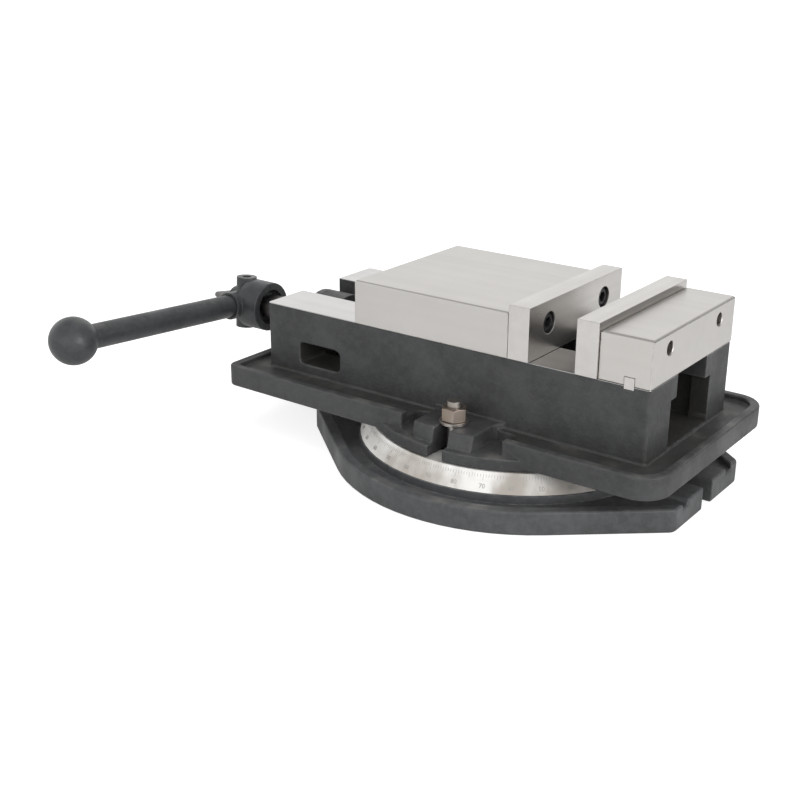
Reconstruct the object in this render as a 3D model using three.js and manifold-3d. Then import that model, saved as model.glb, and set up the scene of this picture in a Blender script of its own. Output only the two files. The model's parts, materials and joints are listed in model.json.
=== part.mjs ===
// A milling machine vise on a graduated swivel base, in millimetres, +Z up.
// The origin is on the swivel axis, in the plane that the base stands on.
// +X points from the crank, past the movable jaw, to the fixed jaw.
import * as THREE from 'three';
import { mergeVertices } from 'three/addons/utils/BufferGeometryUtils.js';
import Module from 'manifold-3d';

const wasm = await Module();
wasm.setup();

// Fits and roundness that all pieces share
const seat = 0.3; // between faces that bear on each other
const running = 0.4; // radial, round a shaft or a screw in its hole
const overrun = 2; // how far a cutter runs past the face that it opens
const chordError = 0.15; // the most that a facet may cut inside its arc

// Jaws
const plate = { length: 152.4, height: 44, thickness: 18.67 };
const plateScrew = { fromEnd: 31.2, rise: 25.3, headRadius: 8, headLength: 10, shankRadius: 5, reach: 24 };
const plateBore = { headGap: 1, sink: 1.5 };
const opening = 41; // between the plates at rest
const fixedFace = 94; // from the swivel axis to the fixed plate's gripping face
const fixedJaw = { depth: 43.33, height: 38.2, chamfer: 1.5 };
const movableJaw = { length: 151.6, plateBeyond: 0.1, height: 37.7, chamfer: 1.2 };
const jawSkirt = { aboveNut: 2.7, rearShare: 0.34, frontStep: 4 };
const jawKey = { width: 8, height: 9.1, sunk: 2.5, fromBack: 13.6 };
const holdDown = { fromKey: 16.7, fromSide: 13.8, shankRadius: 6, headRadius: 9, headLength: 12, reach: 16, sunk: 2 };

// Bed
const bed = { left: 219, plateBeyond: 2.4, cornerRadius: 3 };
const slot = { halfWidth: 26.5, depth: 19 };
const channel = { halfWidth: 40, mouthHalfWidth: 36, mouthDepth: 16, belowNut: 3.6 };
const sideWindow = { fromLeft: 36.5, length: 45, rise: 24, height: 19.5, radius: 4 };
const tray = { clearance: 4, thickness: 18.7, troughDepth: 4.7, lip: 8, innerRadius: 4 };
const trayMargin = { left: 24, right: 25.7, side: 32.2 };
const trayCorner = { left: 10, right: 25 };
const flange = { beyondClamps: 23.6, thickness: 10 };
const lug = { left: 29, right: 28, aboveTray: 0.3, draft: 5, blend: 6 };
const notch = { left: 46, right: 50, inside: 6, radius: 8 };

// Base
const base = { beyondBoss: 22.5, earBeyond: 19, earHalfWidth: 59, thickness: 20, cornerRadius: 8 };
const lip = { width: 10.5, height: 4.5 };
const earPad = { halfWidth: 36 };
const earSlot = { width: 18, depth: 34 };
const boss = { beyondDial: 1, height: 22.5 };
const dial = { beyondFlange: 14.5, height: 37 };
const groove = { neckGap: 1, neckDepth: 15, headGap: 1.5, headBelow: 2.5 };
const entry = { length: 27 };
const pivot = { radius: 25, length: 13.3, bottomGap: 2 };

// Clamp bolts
const clampBolt = { fromBed: 23.6, shankRadius: 6, headWidth: 22, headHeight: 9.5, endRise: 5 };
const washer = { radius: 12, thickness: 2.5 };
const hexNut = { acrossFlats: 19, thickness: 11, chamfer: 1 };

// Screw, nut and bearing
const screw = { aboveTray: 20.9, belowRail: 34.4, shaftRadius: 12.5, threadRadius: 14, spare: 11, endChamfer: 2 };
const thrustCollar = { radius: 18.5, thickness: 7.7 };
const housing = { thickness: 34, radius: 29.3 };
const thrust = { outerRadius: 20.5, washerThickness: 3, ballRadius: 2.4, ballCount: 12, cageThickness: 2 };
const cover = { thickness: 7.7 };
const coverScrew = { inset: 6.9, count: 3, headRadius: 4, headLength: 4, shankRadius: 2.5, reach: 10, sink: 0.5 };
const collar = { radius: 16.5, width: 9.4 };
const collarScrew = { radius: 3, length: 3.2 };
const nut = { behindJaw: 20, length: 64, wallSide: 10.6, wallBelow: 5.6, wallAbove: 5, lugHalfWidth: 18, lugRise: 18.7 };
const segment = { radius: 12.5, behindNut: 20, rise: 3.2, ledgeGap: 3 };
const pocket = { sideGap: 2, rearGap: 3, topGap: 2 };
const jawScrew = { radius: 5, length: 40, rise: 9.7 };

// Crank
const crank = { tilt: 4.3, reach: 217.3 };
const hub = { fromBed: 64, discRadius: 23.8, discWidth: 25, barrelRadius: 13.6, barrelWidth: 22 };
const hubRecess = { radius: 17, depth: 6 };
const hubBoss = { wall: 5.7, reach: 25, fromDisc: 8.3 };
const barBoss = { fromFront: 30, wall: 2, reach: 29 };
const bar = { radius: 11, inHub: 16, inBall: 14 };
const ball = { radius: 21 };
const drive = { acrossFlats: 19 };
const nose = { length: 28, tipRadius: 2.6 };
const hubScrew = { radius: 4, length: 12 };
const hexSocket = { share: 0.5, depthShare: 0.6 };

// Widths and radii that follow from the plates' length
const movableHalf = plate.length / 2 - movableJaw.plateBeyond;
const bedHalf = plate.length / 2 - bed.plateBeyond;
const clampCircle = bedHalf + clampBolt.fromBed;
const flangeRadius = clampCircle + flange.beyondClamps;
const dialRadius = flangeRadius + dial.beyondFlange;
const bossRadius = dialRadius + boss.beyondDial;
const baseRadius = bossRadius + base.beyondBoss;
const earReach = baseRadius + base.earBeyond;
const grooveNeck = 2 * (clampBolt.shankRadius + groove.neckGap);
const grooveHead = clampBolt.headWidth + 2 * groove.headGap;

// Heights and places that follow from these
const flangeBottom = dial.height + seat;
const trayBottom = dial.height + tray.clearance;
const trayTop = trayBottom + tray.thickness;
const axisHeight = trayTop + screw.aboveTray;
const railTop = axisHeight + screw.belowRail;
const railBottom = railTop - slot.depth;
const lugTop = trayTop + lug.aboveTray;
const grooveHeadTop = dial.height - groove.neckDepth;
const grooveFloor = grooveHeadTop - clampBolt.headHeight - groove.headBelow;
const nutBore = screw.threadRadius + running;
const nutTop = axisHeight + nutBore + nut.wallAbove;
const nutBottom = axisHeight - nutBore - nut.wallBelow;
const channelFloor = nutBottom - channel.belowNut;
const skirtBottom = nutTop + jawSkirt.aboveNut;
const blockBottom = railTop + seat;
const fixedBack = fixedFace + plate.thickness + seat + fixedJaw.depth;
const fixedFront = fixedBack - fixedJaw.depth;
const movableFace = fixedFace - opening;
const jawFront = movableFace - plate.thickness - seat;
const jawRear = jawFront - movableJaw.length;
const nutFront = jawFront - nut.behindJaw;
const nutRear = nutFront - nut.length;
const lugPeak = blockBottom + nut.lugRise;
const screwFront = nutFront + opening + screw.spare;
const housingEnd = housing.thickness - bed.left;
const coverSeat = cover.thickness + 2 * seat - bed.left;
const coverScrewCircle = housing.radius - coverScrew.inset;
const hubFront = -bed.left - hub.fromBed;
const barPlane = hubFront - barBoss.fromFront;

// Shapes

function arcStep(radius) {
  return 2 * Math.acos(Math.max(0.5, 1 - chordError / radius));
}

function roundCount(radius) {
  return 4 * Math.max(3, Math.ceil(Math.PI / 2 / arcStep(radius)));
}

function solid(geometry) {
  geometry.deleteAttribute('normal');
  geometry.deleteAttribute('uv');
  const merged = mergeVertices(geometry);
  const points = merged.attributes.position;
  const corner = [0, 1, 2].map(() => new THREE.Vector3());
  const triangles = [];
  let volume = 0;
  for (let i = 0; i < merged.index.count; i += 3) {
    const [a, b, c] = [0, 1, 2].map((k) => merged.index.getX(i + k));
    if (a === b || b === c || c === a) continue;
    [a, b, c].forEach((at, k) => corner[k].fromBufferAttribute(points, at));
    volume += corner[0].dot(corner[1].clone().cross(corner[2]));
    triangles.push([a, b, c]);
  }
  const wound = volume < 0 ? triangles.map(([a, b, c]) => [a, c, b]) : triangles;
  return new wasm.Manifold(new wasm.Mesh({
    numProp: 3,
    vertProperties: Float32Array.from(points.array),
    triVerts: Uint32Array.from(wound.flat()),
  }));
}

function block([x0, x1], [y0, y1], [z0, z1]) {
  const box = new THREE.BoxGeometry(x1 - x0, y1 - y0, z1 - z0);
  return solid(box.translate((x0 + x1) / 2, (y0 + y1) / 2, (z0 + z1) / 2));
}

// An outline through corners [x, y, radius]; a corner that has a radius becomes an arc.
function outline(corners) {
  const points = [];
  corners.forEach(([x, y, radius = 0], i) => {
    const at = new THREE.Vector2(x, y);
    if (radius === 0) {
      points.push(at);
      return;
    }
    const [before, after] = [corners.at(i - 1), corners[(i + 1) % corners.length]]
      .map(([u, v]) => new THREE.Vector2(u, v).sub(at).normalize());
    const half = Math.acos(before.dot(after)) / 2;
    const centre = before.clone().add(after).setLength(radius / Math.sin(half)).add(at);
    const start = before.clone().multiplyScalar(radius / Math.tan(half)).add(at).sub(centre);
    const sweep = Math.sign(-before.cross(after)) * (Math.PI - 2 * half);
    const steps = Math.ceil(Math.abs(sweep) / arcStep(radius));
    for (let step = 0; step <= steps; step += 1) {
      points.push(start.clone().rotateAround(new THREE.Vector2(), sweep * step / steps).add(centre));
    }
  });
  return new THREE.Shape(points);
}

// The outline's own axes become X and Y for 'z', Y and Z for 'x', and X and Z for 'y'.
const basis = {
  z: new THREE.Matrix4(),
  x: new THREE.Matrix4().set(0, 0, 1, 0, 1, 0, 0, 0, 0, 1, 0, 0, 0, 0, 0, 1),
  y: new THREE.Matrix4().set(1, 0, 0, 0, 0, 0, -1, 0, 0, 1, 0, 0, 0, 0, 0, 1),
};

function prism(shape, axis, [from, to]) {
  const geometry = new THREE.ExtrudeGeometry(shape, { depth: to - from, bevelEnabled: false });
  geometry.translate(0, 0, axis === 'y' ? -to : from);
  return solid(geometry.applyMatrix4(basis[axis]));
}

function polygon(corners, axis, span) {
  return prism(outline(corners), axis, span);
}

// A turned solid: its profile is a list of [radius, place along the axis].
function turned(profile, axis) {
  const widest = Math.max(...profile.map(([radius]) => radius));
  const points = profile.map(([radius, along]) => new THREE.Vector2(radius, along));
  const geometry = new THREE.LatheGeometry(points, roundCount(widest));
  if (axis === 'z') geometry.rotateX(Math.PI / 2);
  if (axis === 'x') geometry.rotateZ(-Math.PI / 2);
  return solid(geometry);
}

function rod(radius, [from, to], axis) {
  return turned([[0, from], [radius, from], [radius, to], [0, to]], axis);
}

// A turned solid with a round hole right through it.
function ring(inner, outer, [from, to], axis) {
  return turned([[inner, from], [outer, from], [outer, to], [inner, to], [inner, from]], axis);
}

function hexagon(acrossFlats) {
  const radius = acrossFlats / Math.sqrt(3);
  return [0, 1, 2, 3, 4, 5].map((i) => {
    const angle = i * Math.PI / 3;
    return [radius * Math.cos(angle), radius * Math.sin(angle)];
  });
}

function joined(...solids) {
  return solids.reduce((whole, piece) => whole.add(piece));
}

function cut(whole, ...cutters) {
  return cutters.reduce((rest, cutter) => rest.subtract(cutter), whole);
}

// A hexagon-socket cap screw on X: the head's face is at `face`, and the shank points along `way`.
function capScrew(size, face, way) {
  const headEnd = face + way * size.headLength;
  const tip = headEnd + way * size.reach;
  const chamfer = size.shankRadius * hexSocket.share / 2;
  const body = turned([
    [0, face],
    [size.headRadius - chamfer, face],
    [size.headRadius, face + way * chamfer],
    [size.headRadius, headEnd],
    [size.shankRadius, headEnd],
    [size.shankRadius, tip - way * chamfer],
    [size.shankRadius - chamfer, tip],
    [0, tip],
  ], 'x');
  const span = [face - way * overrun, face + way * size.headLength * hexSocket.depthShare];
  const socket = hexagon(2 * size.headRadius * hexSocket.share);
  return cut(body, polygon(socket, 'x', span.sort((a, b) => a - b)));
}

// A hexagon-socket set screw on X, from `start` to `end`, with its socket at `start`.
function setScrew(radius, start, end) {
  const way = Math.sign(end - start);
  const span = [start - way * overrun, start + way * radius];
  const socket = polygon(hexagon(2 * radius * hexSocket.share), 'x', span.sort((a, b) => a - b));
  return cut(rod(radius, [start, end], 'x'), socket);
}

// Materials

function finish(color, roughness, metalness) {
  return new THREE.MeshStandardMaterial({ color, roughness, metalness });
}

const paint = finish(0x45484b, 0.6, 0.1);
const groundSteel = finish(0xc9c6c1, 0.35, 0.7);
const blackSteel = finish(0x2b2b2d, 0.5, 0.6);
const bareSteel = finish(0x9a9790, 0.4, 0.8);
const brownSteel = finish(0x8c7d76, 0.5, 0.6);

const vise = new THREE.Group();

function add(name, shape, material, parent = vise) {
  const mesh = shape.getMesh();
  const geometry = new THREE.BufferGeometry();
  geometry.setAttribute('position', new THREE.BufferAttribute(mesh.vertProperties, mesh.numProp));
  geometry.setIndex(new THREE.BufferAttribute(mesh.triVerts, 1));
  geometry.computeVertexNormals();
  const piece = new THREE.Mesh(geometry, material);
  piece.name = name;
  parent.add(piece);
  return piece;
}

// Base casting

// The base's outline, drawn in by `inset`: a circle with two ears that its tangents run out to.
function baseOutline(inset, reach, cornerRadius) {
  const ear = new THREE.Vector2(earReach, base.earHalfWidth);
  const tangent = ear.angle() + Math.acos(baseRadius / ear.length());
  const radius = baseRadius - inset;
  const half = (radius - reach * Math.cos(tangent)) / Math.sin(tangent);
  const peak = radius / Math.sin(tangent);
  return outline([
    [reach, -half, cornerRadius],
    [reach, half, cornerRadius],
    [0, peak, radius],
    [-reach, half, cornerRadius],
    [-reach, -half, cornerRadius],
    [0, -peak, radius],
  ]);
}

function makeBase() {
  const recessFloor = base.thickness - lip.height;
  const plateSolid = prism(baseOutline(0, earReach, base.cornerRadius), 'z', [0, base.thickness]);
  const recess = prism(
    baseOutline(lip.width, earReach + overrun, 0), 'z', [recessFloor, base.thickness + overrun],
  );
  const pads = block(
    [-earReach - overrun, earReach + overrun],
    [-earPad.halfWidth, earPad.halfWidth],
    [0, base.thickness + 2 * overrun],
  );
  const table = turned([
    [0, 0],
    [bossRadius, 0],
    [bossRadius, boss.height],
    [dialRadius, boss.height],
    [dialRadius, dial.height],
    [0, dial.height],
  ], 'z');
  const neck = ring(
    clampCircle - grooveNeck / 2, clampCircle + grooveNeck / 2,
    [grooveFloor, dial.height + overrun], 'z',
  );
  const head = ring(
    clampCircle - grooveHead / 2, clampCircle + grooveHead / 2,
    [grooveFloor, grooveHeadTop], 'z',
  );
  const boltEntry = block(
    [clampCircle - grooveHead / 2, clampCircle + grooveHead / 2],
    [-entry.length / 2, entry.length / 2],
    [grooveFloor, dial.height + overrun],
  );
  const pivotBottom = flangeBottom - pivot.length - pivot.bottomGap;
  const bore = rod(pivot.radius + running, [pivotBottom, dial.height + overrun], 'z');
  const slotEnd = earReach - earSlot.depth;
  const slots = [-1, 1].map((side) => polygon([
    [side * slotEnd, -earSlot.width / 2, earSlot.width / 2],
    [side * (earReach + overrun), -earSlot.width / 2],
    [side * (earReach + overrun), earSlot.width / 2],
    [side * slotEnd, earSlot.width / 2, earSlot.width / 2],
  ], 'z', [-overrun, base.thickness + overrun]));
  const foot = joined(cut(plateSolid, cut(recess, pads)), table);
  add('swivel_base', cut(foot, neck, head, boltEntry, bore, ...slots), paint);
}

// Bed casting

function makeTray() {
  const left = -bed.left - trayMargin.left;
  const right = fixedBack + trayMargin.right;
  const half = bedHalf + trayMargin.side;
  const corners = (inset, leftRadius, rightRadius) => [
    [left + inset, -half + inset, leftRadius],
    [right - inset, -half + inset, rightRadius],
    [right - inset, half - inset, rightRadius],
    [left + inset, half - inset, leftRadius],
  ];
  const slab = polygon(corners(0, trayCorner.left, trayCorner.right), 'z', [trayBottom, trayTop]);
  const trough = polygon(
    corners(tray.lip, tray.innerRadius, trayCorner.right - tray.lip), 'z',
    [trayTop - tray.troughDepth, trayTop + overrun],
  );
  const inner = bedHalf + notch.inside;
  const outer = half + overrun;
  const notches = [-1, 1].map((side) => polygon([
    [-notch.left, side * inner, notch.radius],
    [notch.right, side * inner, notch.radius],
    [notch.right, side * outer],
    [-notch.left, side * outer],
  ], 'z', [flangeBottom - overrun, trayTop + overrun]));
  return cut(slab, trough, ...notches);
}

function makeLugs() {
  const cone = turned([
    [0, flangeBottom],
    [flangeRadius, flangeBottom],
    [flangeRadius - lug.draft, lugTop],
    [0, lugTop],
  ], 'z');
  const reach = flangeRadius + overrun;
  const inner = bedHalf - overrun;
  const sides = [-1, 1].map((side) => polygon([
    [-lug.left - lug.blend, side * inner],
    [lug.right + lug.blend, side * inner],
    [lug.right, side * (inner + 2 * lug.blend), lug.blend],
    [lug.right, side * reach],
    [-lug.left, side * reach],
    [-lug.left, side * (inner + 2 * lug.blend), lug.blend],
  ], 'z', [flangeBottom, lugTop]));
  return sides.map((side) => side.intersect(cone));
}

function clampSlot(side) {
  const half = grooveNeck / 2;
  return polygon([
    [-half, side * (clampCircle - half), half],
    [half, side * (clampCircle - half), half],
    [half, side * (flangeRadius + overrun)],
    [-half, side * (flangeRadius + overrun)],
  ], 'z', [flangeBottom - overrun, lugTop + overrun]);
}

const keyLeft = fixedBack - jawKey.fromBack - jawKey.width;
const holdDownX = keyLeft + jawKey.width / 2 - holdDown.fromKey;

function keyCutter() {
  const reach = bedHalf + overrun;
  const keyBottom = railTop - jawKey.sunk;
  return block(
    [keyLeft - seat, keyLeft + jawKey.width + seat],
    [-reach, reach],
    [keyBottom - seat, keyBottom + jawKey.height + seat],
  );
}

function holdDownPlaces() {
  return [['near', -1], ['far', 1]].map(([name, side]) => [name, side * (bedHalf - holdDown.fromSide)]);
}

function makeBed() {
  const wall = polygon([
    [-bed.left, -bedHalf, bed.cornerRadius],
    [fixedBack, -bedHalf, bed.cornerRadius],
    [fixedBack, bedHalf, bed.cornerRadius],
    [-bed.left, bedHalf, bed.cornerRadius],
  ], 'z', [trayBottom, railTop]);
  const foot = rod(flangeRadius, [flangeBottom, flangeBottom + flange.thickness], 'z');
  const spigot = rod(pivot.radius, [flangeBottom - pivot.length, flangeBottom + overrun], 'z');
  const beyond = fixedBack + overrun;
  const slotCut = block(
    [-bed.left - overrun, beyond], [-slot.halfWidth, slot.halfWidth], [railBottom, railTop + overrun],
  );
  const endSlotCut = block(
    [-bed.left - overrun, housingEnd], [-slot.halfWidth, slot.halfWidth], [axisHeight, railTop + overrun],
  );
  const channelCut = block(
    [housingEnd, fixedBack - channel.mouthDepth],
    [-channel.halfWidth, channel.halfWidth],
    [channelFloor, railBottom],
  );
  const mouthCut = block(
    [fixedBack - channel.mouthDepth - overrun, beyond],
    [-channel.mouthHalfWidth, channel.mouthHalfWidth],
    [channelFloor, railBottom],
  );
  const windowLeft = sideWindow.fromLeft - bed.left;
  const windowBottom = trayBottom + sideWindow.rise;
  const windows = polygon([
    [windowLeft, windowBottom, sideWindow.radius],
    [windowLeft + sideWindow.length, windowBottom, sideWindow.radius],
    [windowLeft + sideWindow.length, windowBottom + sideWindow.height, sideWindow.radius],
    [windowLeft, windowBottom + sideWindow.height, sideWindow.radius],
  ], 'y', [-bedHalf - overrun, bedHalf + overrun]);
  const shell = cut(
    joined(makeTray(), wall, foot, spigot, ...makeLugs()),
    slotCut, endSlotCut, channelCut, mouthCut, windows,
  );
  const bearing = rod(housing.radius, [-bed.left, housingEnd], 'x').translate([0, 0, axisHeight]);
  const coverCut = rod(housing.radius + seat, [-bed.left - overrun, coverSeat], 'x');
  const shaftCut = rod(screw.shaftRadius + running, [-bed.left - overrun, housingEnd + overrun], 'x');
  const screwCuts = coverScrewTurns().map((turn) => (
    rod(coverScrew.shankRadius + running / 2, [coverSeat - overrun, coverScrewTip() + overrun], 'x')
      .translate([0, 0, coverScrewCircle]).rotate([turn, 0, 0])
  ));
  const bores = [coverCut, shaftCut, ...screwCuts].map((bore) => bore.translate([0, 0, axisHeight]));
  const headTop = trayBottom + holdDown.sunk + holdDown.headLength + seat;
  const holdDownCuts = holdDownPlaces().map(([, y]) => joined(
    rod(holdDown.headRadius + 2 * running, [trayBottom - overrun, headTop], 'z'),
    rod(holdDown.shankRadius + running, [trayBottom, railTop + overrun], 'z'),
  ).translate([holdDownX, y, 0]));
  const clampSlots = [-1, 1].map(clampSlot);
  add('vise_bed', cut(joined(shell, bearing), ...bores, ...holdDownCuts, ...clampSlots, keyCutter()), paint);
}

// Fixed jaw

function chamferedBlock([x0, x1], halfWidth, [z0, z1], chamfer) {
  const side = polygon([
    [x0, z0],
    [x1, z0],
    [x1, z1 - chamfer],
    [x1 - chamfer, z1],
    [x0 + chamfer, z1],
    [x0, z1 - chamfer],
  ], 'y', [-halfWidth, halfWidth]);
  const end = polygon([
    [-halfWidth, z0],
    [halfWidth, z0],
    [halfWidth, z1 - chamfer],
    [halfWidth - chamfer, z1],
    [chamfer - halfWidth, z1],
    [-halfWidth, z1 - chamfer],
  ], 'x', [x0, x1]);
  return side.intersect(end);
}

const screwPlaces = [['near', -1], ['far', 1]].map(([name, side]) => (
  [name, [0, side * (plate.length / 2 - plateScrew.fromEnd), blockBottom + plateScrew.rise]]
));

function screwHoles(from, to) {
  const span = [from, to].sort((a, b) => a - b);
  return screwPlaces.map(([, place]) => (
    rod(plateScrew.shankRadius + running, span, 'x').translate(place)
  ));
}

// A jaw plate from `face` to `back`, bored for its screws, whose heads lie sunk below the face.
function makePlate(name, face, back) {
  const way = Math.sign(back - face);
  const half = plate.length / 2;
  const body = block([face, back].sort((a, b) => a - b), [-half, half], [blockBottom, blockBottom + plate.height]);
  const headEnd = face + way * (plateBore.sink + plateScrew.headLength + seat);
  const span = [face - way * overrun, headEnd].sort((a, b) => a - b);
  const heads = screwPlaces.map(([, place]) => rod(plateScrew.headRadius + plateBore.headGap, span, 'x').translate(place));
  const shanks = screwHoles(face - way * overrun, back + way * overrun);
  add(`${name}_jaw_plate`, cut(body, ...heads, ...shanks), groundSteel);
  screwPlaces.forEach(([end, place]) => {
    const piece = capScrew(plateScrew, face + way * plateBore.sink, way);
    add(`${name}_plate_screw_${end}`, piece.translate(place), blackSteel);
  });
}

function makeFixedJaw() {
  const top = blockBottom + fixedJaw.height;
  const body = chamferedBlock([fixedFront, fixedBack], bedHalf, [blockBottom, top], fixedJaw.chamfer);
  const holdDownTop = blockBottom + holdDown.reach;
  const taps = holdDownPlaces().map(([, y]) => (
    rod(holdDown.shankRadius + running, [blockBottom - overrun, holdDownTop + overrun], 'z')
      .translate([holdDownX, y, 0])
  ));
  const through = screwHoles(fixedFront - overrun, fixedBack + overrun);
  add('fixed_jaw', cut(body, keyCutter(), ...taps, ...through), groundSteel);
  makePlate('fixed', fixedFace, fixedFace + plate.thickness);
  const keyBottom = railTop - jawKey.sunk;
  add('fixed_jaw_key', block(
    [keyLeft, keyLeft + jawKey.width],
    [-bedHalf, bedHalf],
    [keyBottom, keyBottom + jawKey.height],
  ), groundSteel);
  const headFace = trayBottom + holdDown.sunk;
  const bolt = { ...holdDown, reach: holdDownTop - headFace - holdDown.headLength };
  holdDownPlaces().forEach(([end, y]) => {
    const piece = capScrew(bolt, headFace, 1).rotate([0, -90, 0]);
    add(`hold_down_bolt_${end}`, piece.translate([holdDownX, y, 0]), blackSteel);
  });
}

// Movable jaw, its nut and the segment between them

// The nut's face leans forward at 45 degrees, and the segment rolls between it and the jaw.
const lean = new THREE.Vector3(1, 0, -1).normalize();
const facePoint = new THREE.Vector3(nutFront - segment.behindNut, 0, blockBottom + segment.rise);

// Where a line at 45 degrees, `gap` ahead of the nut's face, passes height z.
function leanLine(gap, z) {
  const start = facePoint.clone().addScaledVector(lean, gap);
  return [start.x + z - start.z, z];
}

const segmentCentre = facePoint.clone().addScaledVector(lean, seat);

function makeMovableJaw() {
  const top = blockBottom + movableJaw.height;
  const body = chamferedBlock([jawRear, jawFront], movableHalf, [blockBottom, top], movableJaw.chamfer);
  const skirt = block(
    [jawRear + jawSkirt.rearShare * movableJaw.length, jawFront - jawSkirt.frontStep],
    [seat - slot.halfWidth, slot.halfWidth - seat],
    [skirtBottom, blockBottom + overrun],
  );
  const pocketHalf = nut.lugHalfWidth + pocket.sideGap;
  const pocketRear = nutRear - pocket.rearGap;
  const pocketTop = lugPeak + pocket.topGap;
  const hollow = polygon([
    [pocketRear, skirtBottom - overrun],
    leanLine(segment.ledgeGap, skirtBottom - overrun),
    leanLine(segment.ledgeGap, pocketTop),
    [pocketRear, pocketTop],
  ], 'y', [-pocketHalf, pocketHalf]);
  const socket = dome(segment.radius + seat, segment.radius);
  const screwHole = rod(jawScrew.radius + running, [jawRear - overrun, pocketRear + overrun], 'x')
    .translate([0, 0, blockBottom + jawScrew.rise]);
  const taps = screwHoles(jawFront + overrun, movableFace - plateScrew.headLength - plateScrew.reach - overrun);
  add('movable_jaw', cut(joined(body, skirt), hollow, socket, screwHole, ...taps), groundSteel);
  makePlate('movable', movableFace, movableFace - plate.thickness);
  const screwTip = nutRear - seat;
  const jawScrewPiece = setScrew(jawScrew.radius, screwTip - jawScrew.length, screwTip);
  add('jaw_set_screw', jawScrewPiece.translate([0, 0, blockBottom + jawScrew.rise]), blackSteel);
}

// A dome whose round side points along the lean, carried back by `tail` behind its centre.
function dome(radius, tail) {
  const quarter = [];
  const steps = roundCount(radius) / 4;
  for (let i = 0; i <= steps; i += 1) {
    const angle = i * Math.PI / 2 / steps;
    quarter.push(new THREE.Vector2(radius * Math.cos(angle), radius * Math.sin(angle)));
  }
  const profile = [new THREE.Vector2(0, -tail), new THREE.Vector2(radius, -tail)];
  const geometry = new THREE.LatheGeometry(
    tail === 0 ? [new THREE.Vector2(), ...quarter] : [...profile, ...quarter], roundCount(radius),
  );
  geometry.applyQuaternion(new THREE.Quaternion().setFromUnitVectors(new THREE.Vector3(0, 1, 0), lean));
  return solid(geometry.translate(segmentCentre.x, segmentCentre.y, segmentCentre.z));
}

function makeNut() {
  const half = nutBore + nut.wallSide;
  const body = block([nutRear, nutFront], [-half, half], [nutBottom, nutTop]);
  const lugSolid = polygon([
    [nutRear, nutTop - overrun],
    leanLine(0, nutTop - overrun),
    leanLine(0, lugPeak),
    [nutRear, lugPeak],
  ], 'y', [-nut.lugHalfWidth, nut.lugHalfWidth]);
  const bore = rod(nutBore, [nutRear - overrun, nutFront + overrun], 'x');
  add('screw_nut', cut(joined(body, lugSolid), bore.translate([0, 0, axisHeight])), bareSteel);
  add('jaw_segment', dome(segment.radius, 0), bareSteel);
}

// Screw, crank and bearing: they turn about the screw's axis, so they share a group on it.
const spindle = new THREE.Group();
spindle.position.z = axisHeight;
spindle.rotation.x = -THREE.MathUtils.degToRad(crank.tilt);
vise.add(spindle);

// Thrust washers and balls lie between the housing's inner face and the screw's own collar.
const outerWasherX = housingEnd + seat;
const ballX = outerWasherX + thrust.washerThickness + seat + thrust.ballRadius;
const innerWasherX = ballX + thrust.ballRadius + seat;
const collarX = innerWasherX + thrust.washerThickness + seat;
const hubRear = hubFront - hub.discWidth - hub.barrelWidth;

function makeScrew() {
  const flatRadius = drive.acrossFlats / 2;
  const spin = turned([
    [0, hubRear - nose.length],
    [nose.tipRadius, hubRear - nose.length],
    [flatRadius, hubRear],
    [flatRadius, hubFront + seat],
    [screw.shaftRadius, hubFront + seat],
    [screw.shaftRadius, collarX],
    [thrustCollar.radius, collarX],
    [thrustCollar.radius, collarX + thrustCollar.thickness],
    [screw.threadRadius, collarX + thrustCollar.thickness],
    [screw.threadRadius, screwFront - screw.endChamfer],
    [screw.threadRadius - screw.endChamfer, screwFront],
    [0, screwFront],
  ], 'x');
  const hex = polygon(hexagon(drive.acrossFlats), 'x', [hubRear, hubFront + overrun]);
  add('lead_screw', joined(spin, hex), bareSteel, spindle);
}

function makeCrank() {
  const discBack = hubFront - hub.discWidth;
  const bossX = discBack - hubBoss.fromDisc;
  const body = joined(
    rod(hub.discRadius, [discBack, hubFront], 'x'),
    rod(hub.barrelRadius, [hubRear, discBack + overrun], 'x'),
    rod(hubScrew.radius + seat + hubBoss.wall, [-hubBoss.reach, hubBoss.reach], 'z').translate([bossX, 0, 0]),
    rod(bar.radius + seat + barBoss.wall, [-barBoss.reach, 0], 'y').translate([barPlane, 0, 0]),
  );
  const recess = rod(hubRecess.radius, [hubFront - hubRecess.depth, hubFront + overrun], 'x');
  const hexHole = polygon(hexagon(drive.acrossFlats + 2 * seat), 'x', [hubRear - overrun, hubFront]);
  const barHole = rod(bar.radius + seat, [-barBoss.reach - overrun, seat - bar.inHub], 'y')
    .translate([barPlane, 0, 0]);
  const screwHole = rod(hubScrew.radius + seat, [0, hubBoss.reach + overrun], 'z').translate([bossX, 0, 0]);
  add('crank_hub', cut(body, recess, hexHole, barHole, screwHole), paint, spindle);
  const screwTip = drive.acrossFlats / Math.sqrt(3) + 2 * seat;
  const screwPiece = setScrew(hubScrew.radius, screwTip + hubScrew.length, screwTip).rotate([0, -90, 0]);
  add('hub_set_screw', screwPiece.translate([bossX, 0, 0]), blackSteel, spindle);
  const barEnd = -crank.reach + ball.radius - bar.inBall;
  const barSolid = rod(bar.radius, [barEnd, -bar.inHub], 'y').translate([barPlane, 0, 0]);
  add('crank_bar', barSolid, paint, spindle);
  const sphere = solid(new THREE.SphereGeometry(ball.radius, roundCount(ball.radius), roundCount(ball.radius) / 2));
  const hole = rod(bar.radius + seat, [ball.radius - bar.inBall - seat, ball.radius + overrun], 'y');
  add('crank_ball', cut(sphere, hole).translate([barPlane, -crank.reach, 0]), paint, spindle);
}

function coverScrewTurns() {
  return Array.from({ length: coverScrew.count }, (_, i) => i * 360 / coverScrew.count);
}

function coverScrewTip() {
  return seat - bed.left + coverScrew.sink + coverScrew.headLength + coverScrew.reach;
}

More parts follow.
